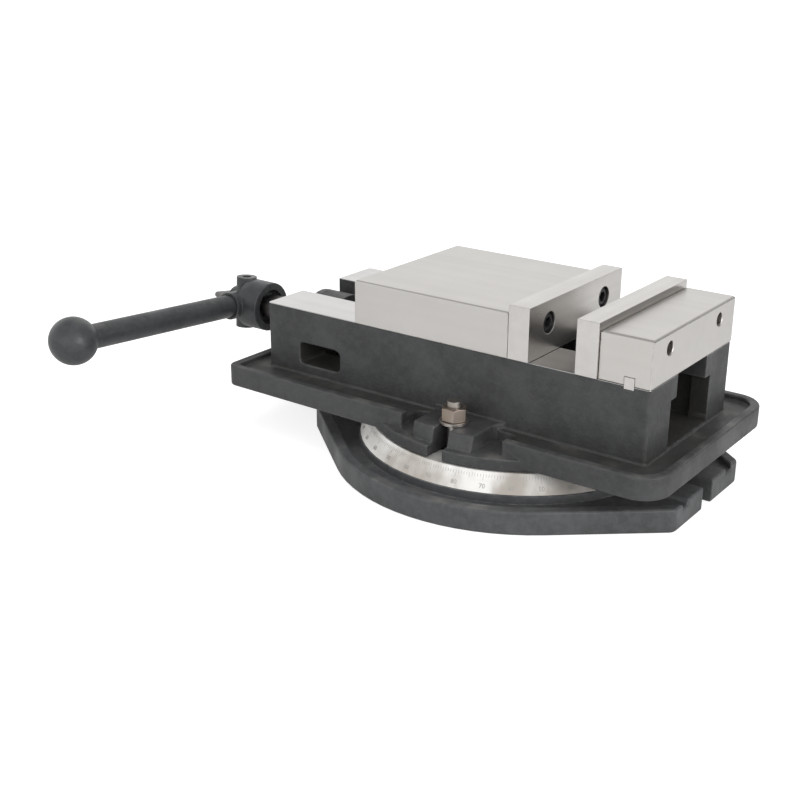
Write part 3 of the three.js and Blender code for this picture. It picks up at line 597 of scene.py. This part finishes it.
def bed_edges(x, y, z):
    """0.5 mm on the machined rails, 1 mm in the slot below them, 4 mm fillets along the foot of the walls,
    1.2 mm at their ends, 0.8 mm under the tray's rim and 1.6 mm on the cast rest. Nothing at the mouth's
    sill or where two faces meet in a narrow wedge."""
    wall_foot = (np.abs(z - tray_floor) < 0.3) & (np.abs(y) < 74.5) & (x > -220) & (x < 157)
    end_foot = wall_foot & (np.abs(x + 31) > 186)
    mouth = (x > 130) & (x < 158) & (z > 55.5)
    housing_foot = (x > -226) & (x < -205)
    sill = (mouth | housing_foot) & (z > 48) & (z < 60) & (np.abs(y) < 44)
    under = np.abs(z - tray_under) < 0.4
    wedge = under & (np.abs(y) < 107) & (np.abs(x) > 20)
    slot = (z > 60.5) & (np.abs(y) < 72)
    rails = z > 95
    places = [rails, slot, wedge, under, sill, end_foot, wall_foot]
    return np.select(places, [0.5, 1.0, 0.0, 0.8, 0.0, 1.2, 4.0], 1.6)


def base_edges(x, y, z):
    """0.4 mm on the turned ring, 1 mm in the slots of the ears, 2.2 mm on the foot."""
    radius = np.hypot(x, y)
    foot = np.where((np.abs(y) < 12) & (radius > 140), 1.0, 2.2)
    return np.where((radius < 137) & (z > 5), 0.4, foot)


# %% [markdown]
# The side of the graduated ring slopes, so that it can be read from above, and the flange of the bed covers
# it up to its upper edge. The frame keeps both as plain cylinders. New solids could be built for them, but
# it is enough that a few corners move along their radius before the edges are rounded.

# %% Flange and ring
flange_radius, flange_shown, tray_half = 121.0, 125.5, 106.0
dial_shown = 126.0


def flange_out(places):
    """Brings the rim of the bed's round flange out to the dial's upper edge: along y beyond the tray's side
    and along x at the side and under the tray, so that no flat face bends."""
    x, y, z = places.T
    rim = (np.abs(np.hypot(x, y) - flange_radius) < 0.4) & (z < 48)
    beyond = rim & (np.abs(y) > tray_half + 0.3)
    under = rim & ~beyond
    y[beyond] = np.sign(y[beyond]) * np.sqrt(flange_shown**2 - x[beyond] ** 2)
    x[under] = np.sign(x[under]) * np.sqrt(flange_shown**2 - y[under] ** 2)
    return np.stack([x, y, z], -1)


def dial_sloped(places):
    """Draws the upper edge of the turned ring in, so that its side becomes a cone."""
    radius = np.hypot(places[:, 0], places[:, 1])
    rim = (np.abs(radius - dial_radius / mm) < 0.4) & (places[:, 2] > 36)
    places[rim, :2] *= dial_shown / (dial_radius / mm)
    return places


round_the_walls = [(0, -226), (0, -14), (0, 14), (0, 163), (1, -81), (1, -44), (1, 44), (1, 81), (2, 62.7)]
bed = rounded("vise_bed", bed_edges, cuts=round_the_walls, reshaped=flange_out)
base = rounded("swivel_base", base_edges, reshaped=dial_sloped)
print("bed and base:", len(bed.data.polygons), len(base.data.polygons), "faces before rounding")

# %% [markdown]
# ## Jaws, plates and key
# They are ground on every side, and a stone breaks their edges by about half a millimetre. The same
# rounding helper does for them. The key is also let out by 0.2 mm on each side, because the frame keeps a
# gap round it that a fitted key doesn't show.

# %% Jaws
def jaw_edges(x, y, z):
    """0.5 mm, 1.1 mm round the holes in the back, and nothing in the pocket under the movable jaw."""
    back_holes = (x > 155.8) & (np.abs(y) < 70) & (z > 118) & (z < 150)
    pocket = (z < 140) & (np.abs(y) < 30) & (x < 30) & (x > -117)
    return np.where(pocket, 0.0, np.where(back_holes, 1.1, 0.5))


key_growth = 0.2


def key_fitted(places):
    """Moves each corner of the key away from its middle along all three axes."""
    return places + key_growth * np.sign(places - places.mean(axis=0))


jaws = ["fixed_jaw", "movable_jaw", "fixed_jaw_plate", "movable_jaw_plate"]
for node in jaws:
    rounded(node, jaw_edges, 2)
rounded("fixed_jaw_key", even(0.3), 2, reshaped=key_fitted)
print("jaws and plates:", len(jaws), "and one key")

# %% [markdown]
# ## Small steel pieces and the hub
# Screws, washers, nuts and the thrust bearing come from the frame with thin broken edges. Modelling them
# again would gain nothing at their size. The hub of the crank is a rough casting, so its disc gets rounder
# corners.

# %% Fasteners, bearing and hub
axis_height = 80.6
small_words = ("screw", "bolt_", "washer")
small = [node for node in nodes if node != "lead_screw" and any(word in node for word in small_words)]
small += ["clamp_nut_near", "clamp_nut_far", "retaining_collar", "jaw_segment"]
for node in small:
    rounded(node, even(0.25), 2)
rounded("bearing_cover", even(0.5), 2)


def hub_edges(x, y, z):
    """1.2 mm on the rim of the disc, 0.4 mm on the rest."""
    return np.where((np.hypot(y, z - axis_height) > 20) & (x > -300), 1.2, 0.4)


rounded("crank_hub", hub_edges)
print("small pieces:", len(small))

# %% [markdown]
# ## Surfaces from two numbers
# A turned or threaded piece is easiest as one surface: stations along its axis times angles round it, with
# the radius as a function of both. All places are worked out at once as arrays.

# %% Helper for surfaces round an axis
smooth_turn = math.radians(38)


def round_the_axis(name, stations, radii, count, axis, middle):
    """A closed surface. Row i has its points at stations[i] along the axis, at radii[i, j] from it and at
    the angle 2 pi j / count, and both ends close in a fan. axis is 0 for X, 1 for Y, 2 for Z."""
    angles = 2 * np.pi * np.arange(count) / count
    radii = np.broadcast_to(radii, (len(stations), count))
    places = np.empty((len(stations), count, 3))
    places[..., axis] = stations[:, None]
    places[..., (axis + 1) % 3] = radii * np.cos(angles)
    places[..., (axis + 2) % 3] = radii * np.sin(angles)
    ends = np.zeros((2, 3))
    ends[:, axis] = stations[[0, -1]]
    points = np.vstack([places.reshape(-1, 3), ends]) + middle
    rows, turns = np.meshgrid(np.arange(len(stations) - 1), np.arange(count), indexing="ij")
    here, after = rows * count + turns, rows * count + (turns + 1) % count
    quads = np.stack([here, after, after + count, here + count], -1).reshape(-1, 4)
    turn = np.arange(count)
    last = (len(stations) - 1) * count
    first_fan = np.stack([(turn + 1) % count, turn, np.full(count, len(points) - 2)], -1)
    last_fan = np.stack([last + turn, last + (turn + 1) % count, np.full(count, len(points) - 1)], -1)
    mesh = bpy.data.meshes.new(name)
    mesh.from_pydata((points * mm).tolist(), [], quads.tolist() + first_fan.tolist() + last_fan.tolist())
    mesh.shade_smooth()
    mesh.set_sharp_from_angle(angle=smooth_turn)
    return bpy.data.objects.new(name, mesh)


# %% [markdown]
# ## The lead screw
# Its thread is a real helix, five turns to the inch and trapezoid in section, so that the jaw's travel for
# one turn of the crank can be read from it. A texture of rings would not climb. The radius depends on the
# station along the axis plus the turn, which is what a helix is.

# %% Thread and hexagon
lead = 5.08
crest_radius, thread_depth = 14.0, 2.3
screw_count = 48
angles = 2 * np.pi * np.arange(screw_count) / screw_count


def thread_radius_at(stations, angles):
    """Crest radius minus the depth times a trapezoid wave of the station in leads plus the turn."""
    phase = np.mod(stations[:, None] / lead + angles[None, :] / (2 * np.pi), 1)
    wave = np.clip(2.2 * np.abs(2 * phase - 1) - 0.6, 0, 1)
    return crest_radius - thread_depth * wave


def hexagon_radius(across, angles):
    """The distance from the middle to the side of a hexagon, for each angle."""
    off_flat = np.mod(angles + np.pi / 6, np.pi / 3) - np.pi / 6
    return across / 2 / np.cos(off_flat)


def lathed(profile):
    """Stations and radii of a turned length, from rows of a station and the radius there."""
    profile = np.array(profile)
    return profile[:, 0], np.repeat(profile[:, 1:], screw_count, 1)


print("thread radius from", round(crest_radius - thread_depth, 1), "to", crest_radius, "mm")

# %% Lead screw
nose_end, screw_end = (corner.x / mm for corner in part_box("lead_screw"))
hex_across, hex_stations = 19, np.array([-329.8, -284.0])
thread_start, tip_length = -165.3, 2
nose = lathed([[nose_end, 0.4], [nose_end + 0.4, 2.2], [nose_end + 1.2, 2.8], [-330, 9.2], [-329.8, 9.5]])
hexagon = hex_stations, np.tile(hexagon_radius(hex_across, angles), (2, 1))
shaft_and_collar = lathed([
    [-283, 9.5], [-282.7, 12.2], [-282.4, 12.5], [-173.3, 12.5], [-173, 12.5], [-173, 18], [-172.5, 18.5],
    [-165.8, 18.5], [thread_start, 18], [thread_start, 11.8],
])
thread_stations = np.arange(thread_start + 0.4, screw_end - tip_length, lead / 12)
thread = thread_stations, thread_radius_at(thread_stations, angles)
tip = lathed([[screw_end - tip_length, 12], [screw_end, 11.5]])
runs = [nose, hexagon, shaft_and_collar, thread, tip]
stations = np.concatenate([run[0] for run in runs])
radii = np.vstack([run[1] for run in runs])
screw_middle = np.array([0, 0, axis_height])
lead_screw = round_the_axis("lead_screw_threaded", stations, radii, screw_count, 0, screw_middle)
dress(lead_screw, "screw", "machined_steel", ["lead_screw"], "oiled_steel")
print("thread turns:", round((screw_end - thread_start) / lead, 1))

# %% [markdown]
# ## Crank bar and ball
# Both are round. A cylinder and a sphere from the menu would have hard ends and a seam of their own, so
# they are profiles carried round their own axis. The spindle rests turned by 4.3 degrees about the screw,
# and the places are turned with it.

# %% Turning with the spindle
tilt = -math.radians(4.3)


def turn_with_spindle(piece):
    """Turns a mesh about the screw's axis by the spindle's rest angle."""
    places = read(piece.data.vertices, "co", 3)
    y, z = places[:, 1].copy(), places[:, 2] - axis_height * mm
    places[:, 1] = y * math.cos(tilt) - z * math.sin(tilt)
    places[:, 2] = y * math.sin(tilt) + z * math.cos(tilt) + axis_height * mm
    piece.data.vertices.foreach_set("co", places.ravel())
    piece.data.update()
    return piece


print("spindle at rest:", round(math.degrees(tilt), 1), "degrees")

# %% Crank bar and ball
bar_place = np.array([-313, 0, axis_height])
bar_outer, bar_inner, bar_radius, bar_broken = -210.3, -16.0, 11.0, 0.5
bar_length = np.linspace(bar_outer + bar_broken, bar_inner - 1, 40)
bar_stations = np.concatenate([[bar_outer, bar_outer], bar_length, [bar_inner, bar_inner]])
bar_end = bar_radius - bar_broken
bar_radii = np.concatenate([[0.1, bar_end], np.full(bar_length.shape, bar_radius), [bar_end, 0.1]])[:, None]
crank_bar = round_the_axis("crank_bar_round", bar_stations, bar_radii, 48, 1, bar_place)
dress(turn_with_spindle(crank_bar), "screw", "crank_paint", ["crank_bar"])

ball_middle, ball_radius, pole = -217.3, 21, 0.02
swing = np.linspace(pole, np.pi - pole, 48)
ball_stations = ball_middle - ball_radius * np.cos(swing)
ball_radii = (ball_radius * np.sin(swing))[:, None]
crank_ball = round_the_axis("crank_ball_round", ball_stations, ball_radii, 64, 1, bar_place)
dress(turn_with_spindle(crank_ball), "screw", "crank_paint", ["crank_ball"])
print("crank bar and ball:", len(crank_bar.data.polygons), len(crank_ball.data.polygons), "faces")

# %% [markdown]
# ## The ball cage
# It runs inside the housing, where nobody sees its edges. A copy with next to no rounding keeps it as
# packed and gives it a finish and merged faces like the rest.

# %% Ball cage
next_to_none = 0.0001
cage = rounded("thrust_ball_cage", even(next_to_none), 1)
print("ball cage:", len(cage.data.polygons), "faces")

# %% [markdown]
# ## Graduations of the base
# The ring carries a line for every degree, longer at five and longest at ten, and numbers from 0 to 90 and
# back. Painting them would need an image. Thin boxes wrapped on the cone are cheap, and built in one go as
# an array.

# %% The cone of the ring
dial_top = 37.0
foot_radius, foot_height = dial_radius / mm, dial_foot / mm
slope = np.array([dial_shown - foot_radius, dial_top - foot_height])
slope_length = np.hypot(*slope)
climb, rise = slope / slope_length


def wrapped(sideways, along, out, bearing):
    """Places on the cone: sideways is a length round it from the bearing in degrees, along a length up its
    slope from the foot, and out the distance from it."""
    angle = np.radians(bearing) + sideways / foot_radius
    reach = foot_radius + along * climb + out * rise
    height = foot_height + along * rise - out * climb
    return np.stack([reach * np.cos(angle), reach * np.sin(angle), height], -1)


print("slope of the ring:", round(slope_length, 1), "mm long")

# %% Degree lines
degrees = np.arange(360)
line_lengths = np.where(degrees % 10 == 0, 5.0, np.where(degrees % 5 == 0, 3.8, 2.6))
line_width, proud, top_margin = 0.26, 0.05, 2.5
side = np.array([-1, 1, 1, -1, -1, 1, 1, -1]) * line_width / 2
low = np.array([1, 1, 0, 0, 1, 1, 0, 0])
out = np.array([-1, -1, -1, -1, 1, 1, 1, 1]) * proud
along = slope_length - top_margin - line_lengths[:, None] * low
corners = wrapped(np.tile(side, (360, 1)), along, np.tile(out, (360, 1)), degrees[:, None])
box_faces = np.array([[4, 5, 6, 7], [1, 0, 3, 2], [0, 4, 7, 3], [5, 1, 2, 6], [7, 6, 2, 3], [0, 1, 5, 4]])
faces = (degrees[:, None, None] * 8 + box_faces).reshape(-1, 4)
line_mesh = bpy.data.meshes.new("dial_lines")
line_mesh.from_pydata((corners.reshape(-1, 3) * mm).tolist(), [], faces.tolist())
dial_lines = bpy.data.objects.new("dial_lines", line_mesh)
dress(dial_lines, "base", "base_casting", look="dial_lines")
print("degree lines:", len(degrees))

# %% [markdown]
# The numbers start as text, so that Blender draws the digits. They are made a mesh first, and then every
# vertex is wrapped on the ring by the same formula as the lines.

# %% Numbers
text_size, digit_depth, number_foot = 5.2, 0.08, 3.6


def flat_number(value):
    """The mesh of a number, about 4 mm high and centred, as its places and faces."""
    text = bpy.data.curves.new("digits", "FONT")
    text.body = str(value)
    text.size = text_size
    text.align_x = "CENTER"
    text.extrude = digit_depth
    text.resolution_u = 2
    holder = bpy.data.objects.new("digits", text)
    bpy.context.scene.collection.objects.link(holder)
    mesh = bpy.data.meshes.new_from_object(holder.evaluated_get(bpy.context.evaluated_depsgraph_get()))
    places = read(mesh.vertices, "co", 3)
    faces = [list(face.vertices) for face in mesh.polygons]
    bpy.data.objects.remove(holder)
    return places, faces


all_places, all_faces, start = [], [], 0
for bearing in range(0, 360, 10):
    places, number_faces = flat_number(90 - abs(90 - bearing % 180))
    all_places.append(wrapped(places[:, 0], number_foot + places[:, 1], places[:, 2], bearing))
    all_faces.extend([[start + corner for corner in face] for face in number_faces])
    start += len(places)
number_mesh = bpy.data.meshes.new("dial_numbers")
number_mesh.from_pydata((np.vstack(all_places) * mm).tolist(), [], all_faces)
dial_numbers = bpy.data.objects.new("dial_numbers", number_mesh)
dress(dial_numbers, "base", "base_casting", look="dial_lines")
print("numbers on the dial:", len(all_places))

# %% [markdown]
# ## The floor
# A studio sweep would do, but a large plain floor is simpler and shows the same. It is white to the camera,
# and still darkens under the object, because only a part of its light is its own. What the steel mirrors of
# it is a good deal darker, as a real floor is beside its lamps.

# %% Floor
floor_half, floor_height = 9, -0.0002
seen_share, mirrored_share = 0.78, 0.27
around = [(-1, -1), (1, -1), (1, 1), (-1, 1)]
floor_corners = [(x * floor_half, y * floor_half, floor_height) for x, y in around]
floor_mesh = bpy.data.meshes.new("floor")
floor_mesh.from_pydata(floor_corners, [], [(0, 1, 2, 3)])
floor = bpy.data.objects.new("floor", floor_mesh)
bpy.context.scene.collection.objects.link(floor)
floor_paint = bpy.data.materials.new("floor_white")
floor_paint.use_nodes = True
tree = floor_paint.node_tree
shader = tree.nodes["Principled BSDF"]
shader.inputs["Base Color"].default_value = (0.5, 0.5, 0.5, 1)
shader.inputs["Roughness"].default_value = 0.9
shader.inputs["Specular IOR Level"].default_value = 0.0
shader.inputs["Emission Color"].default_value = (1, 1, 1, 1)
ray = add_node(tree, "ShaderNodeLightPath").outputs
mirrored = number(tree, "MAXIMUM", ray["Is Glossy Ray"], ray["Is Transmission Ray"])
to_camera = number(tree, "MULTIPLY", ray["Is Camera Ray"], seen_share)
to_steel = number(tree, "MULTIPLY", mirrored, mirrored_share)
tree.links.new(number(tree, "ADD", to_camera, to_steel), shader.inputs["Emission Strength"])
floor_mesh.materials.append(floor_paint)
print("floor:", 2 * floor_half, "m wide")

# %% [markdown]
# ## The room that the steel mirrors
# Ground steel has hardly a colour of its own: it shows the room. A white room all round would leave every
# face the same. So the walls are white, the ceiling is darker, and one corner, behind and to the right, is
# nearly dark. The jaws' gripping faces and the rail between them take their dark parts from there. The soft
# light that the paint gets is stronger from the right, where the photograph shows the castings brighter. An
# image of a studio could do this too, but a few ramps of the direction are enough. The camera itself sees
# plain white.

# %% World
ceiling_tone, corner_tone = 0.45, 0.12
soft_left, soft_right = 0.41, 1.6
world = bpy.data.worlds.new("studio")
world.use_nodes = True
bpy.context.scene.world = world
tree = world.node_tree
background = tree.nodes["Background"]
background.inputs["Color"].default_value = (1, 1, 1, 1)
ray = add_node(tree, "ShaderNodeLightPath").outputs
split = axes_of(tree, add_node(tree, "ShaderNodeTexCoord").outputs["Generated"])
mirrored = number(tree, "MAXIMUM", ray["Is Glossy Ray"], ray["Is Transmission Ray"])
wall = blend_values(tree, ramp(tree, split["Z"], 0.5, 0.8), 1.0, ceiling_tone)
corner = number(tree, "MULTIPLY", ramp(tree, split["X"], 0.1, 0.45), ramp(tree, split["Y"], 0.2, 0.6))
wall = blend_values(tree, corner, wall, corner_tone)
soft = blend_values(tree, ramp(tree, split["X"], 0.1, 0.9), soft_left, soft_right)
light = blend_values(tree, mirrored, soft, wall)
tree.links.new(blend_values(tree, ray["Is Camera Ray"], light, 1.0), background.inputs["Strength"])
print("room: walls 1.0, ceiling", ceiling_tone, "and dark corner", corner_tone)

# %% [markdown]
# ## Lamps
# Three large soft lamps stand overhead, in front and to the right. Their mirror images would put hard
# bright squares on the ground faces, so the steel doesn't show them. The one on the right is the exception:
# it gives the light crescents in the screw holes and the glint on the clamp nuts.

# %% Lamps
def softbox(name, place, target, size, power, glossy=False):
    """A square area lamp of that size in metres at place, looking at target. glossy lets it be mirrored."""
    lamp = bpy.data.lights.new(name, "AREA")
    lamp.size = size
    lamp.energy = power
    holder = bpy.data.objects.new(name, lamp)
    bpy.context.scene.collection.objects.link(holder)
    way = np.array(target) - np.array(place)
    holder.location = place
    flat = math.hypot(way[0], way[1])
    holder.rotation_euler = (math.atan2(flat, -way[2]), 0, math.atan2(way[1], way[0]) - math.pi / 2)
    holder.visible_glossy = glossy


softbox("overhead", (0.1, 0.1, 1.7), (0, 0, 0.1), 1.6, 14.5)
softbox("front", (0.1, -1.6, 0.55), (0, 0, 0.05), 1.2, 11.5)
softbox("side", (1.8, -0.4, 0.5), (0, 0, 0.05), 1.0, 11, glossy=True)

# %% [markdown]
# ## The camera
# Its place and angle were worked out from the photograph's edges, so it is set by numbers and not by eye.

# %% Camera
camera = bpy.data.objects.new("camera", bpy.data.cameras.new("camera"))
bpy.context.scene.collection.objects.link(camera)
camera.data.sensor_width = 36
camera.data.lens = 56.276
camera.data.shift_x = -0.01555
camera.data.shift_y = -0.01115
camera.data.clip_end = 50
right = np.array([0.80709645, 0.5903768, 0.0071097])
up = np.array([-0.21378345, 0.28099353, 0.93559568])
back = np.array([0.5503562, -0.75663589, 0.35300167])
pose = np.eye(4)
pose[:3, :3] = np.stack([right, up, back], 1)
pose[:3, 3] = (0.517689, -0.865904, 0.435893)
camera.matrix_world = Matrix(pose.tolist())
bpy.context.scene.camera = camera
bpy.context.scene.view_settings.view_transform = "Standard"
print("camera", round(float(np.linalg.norm(pose[:3, 3])), 2), "m from the middle of the base")
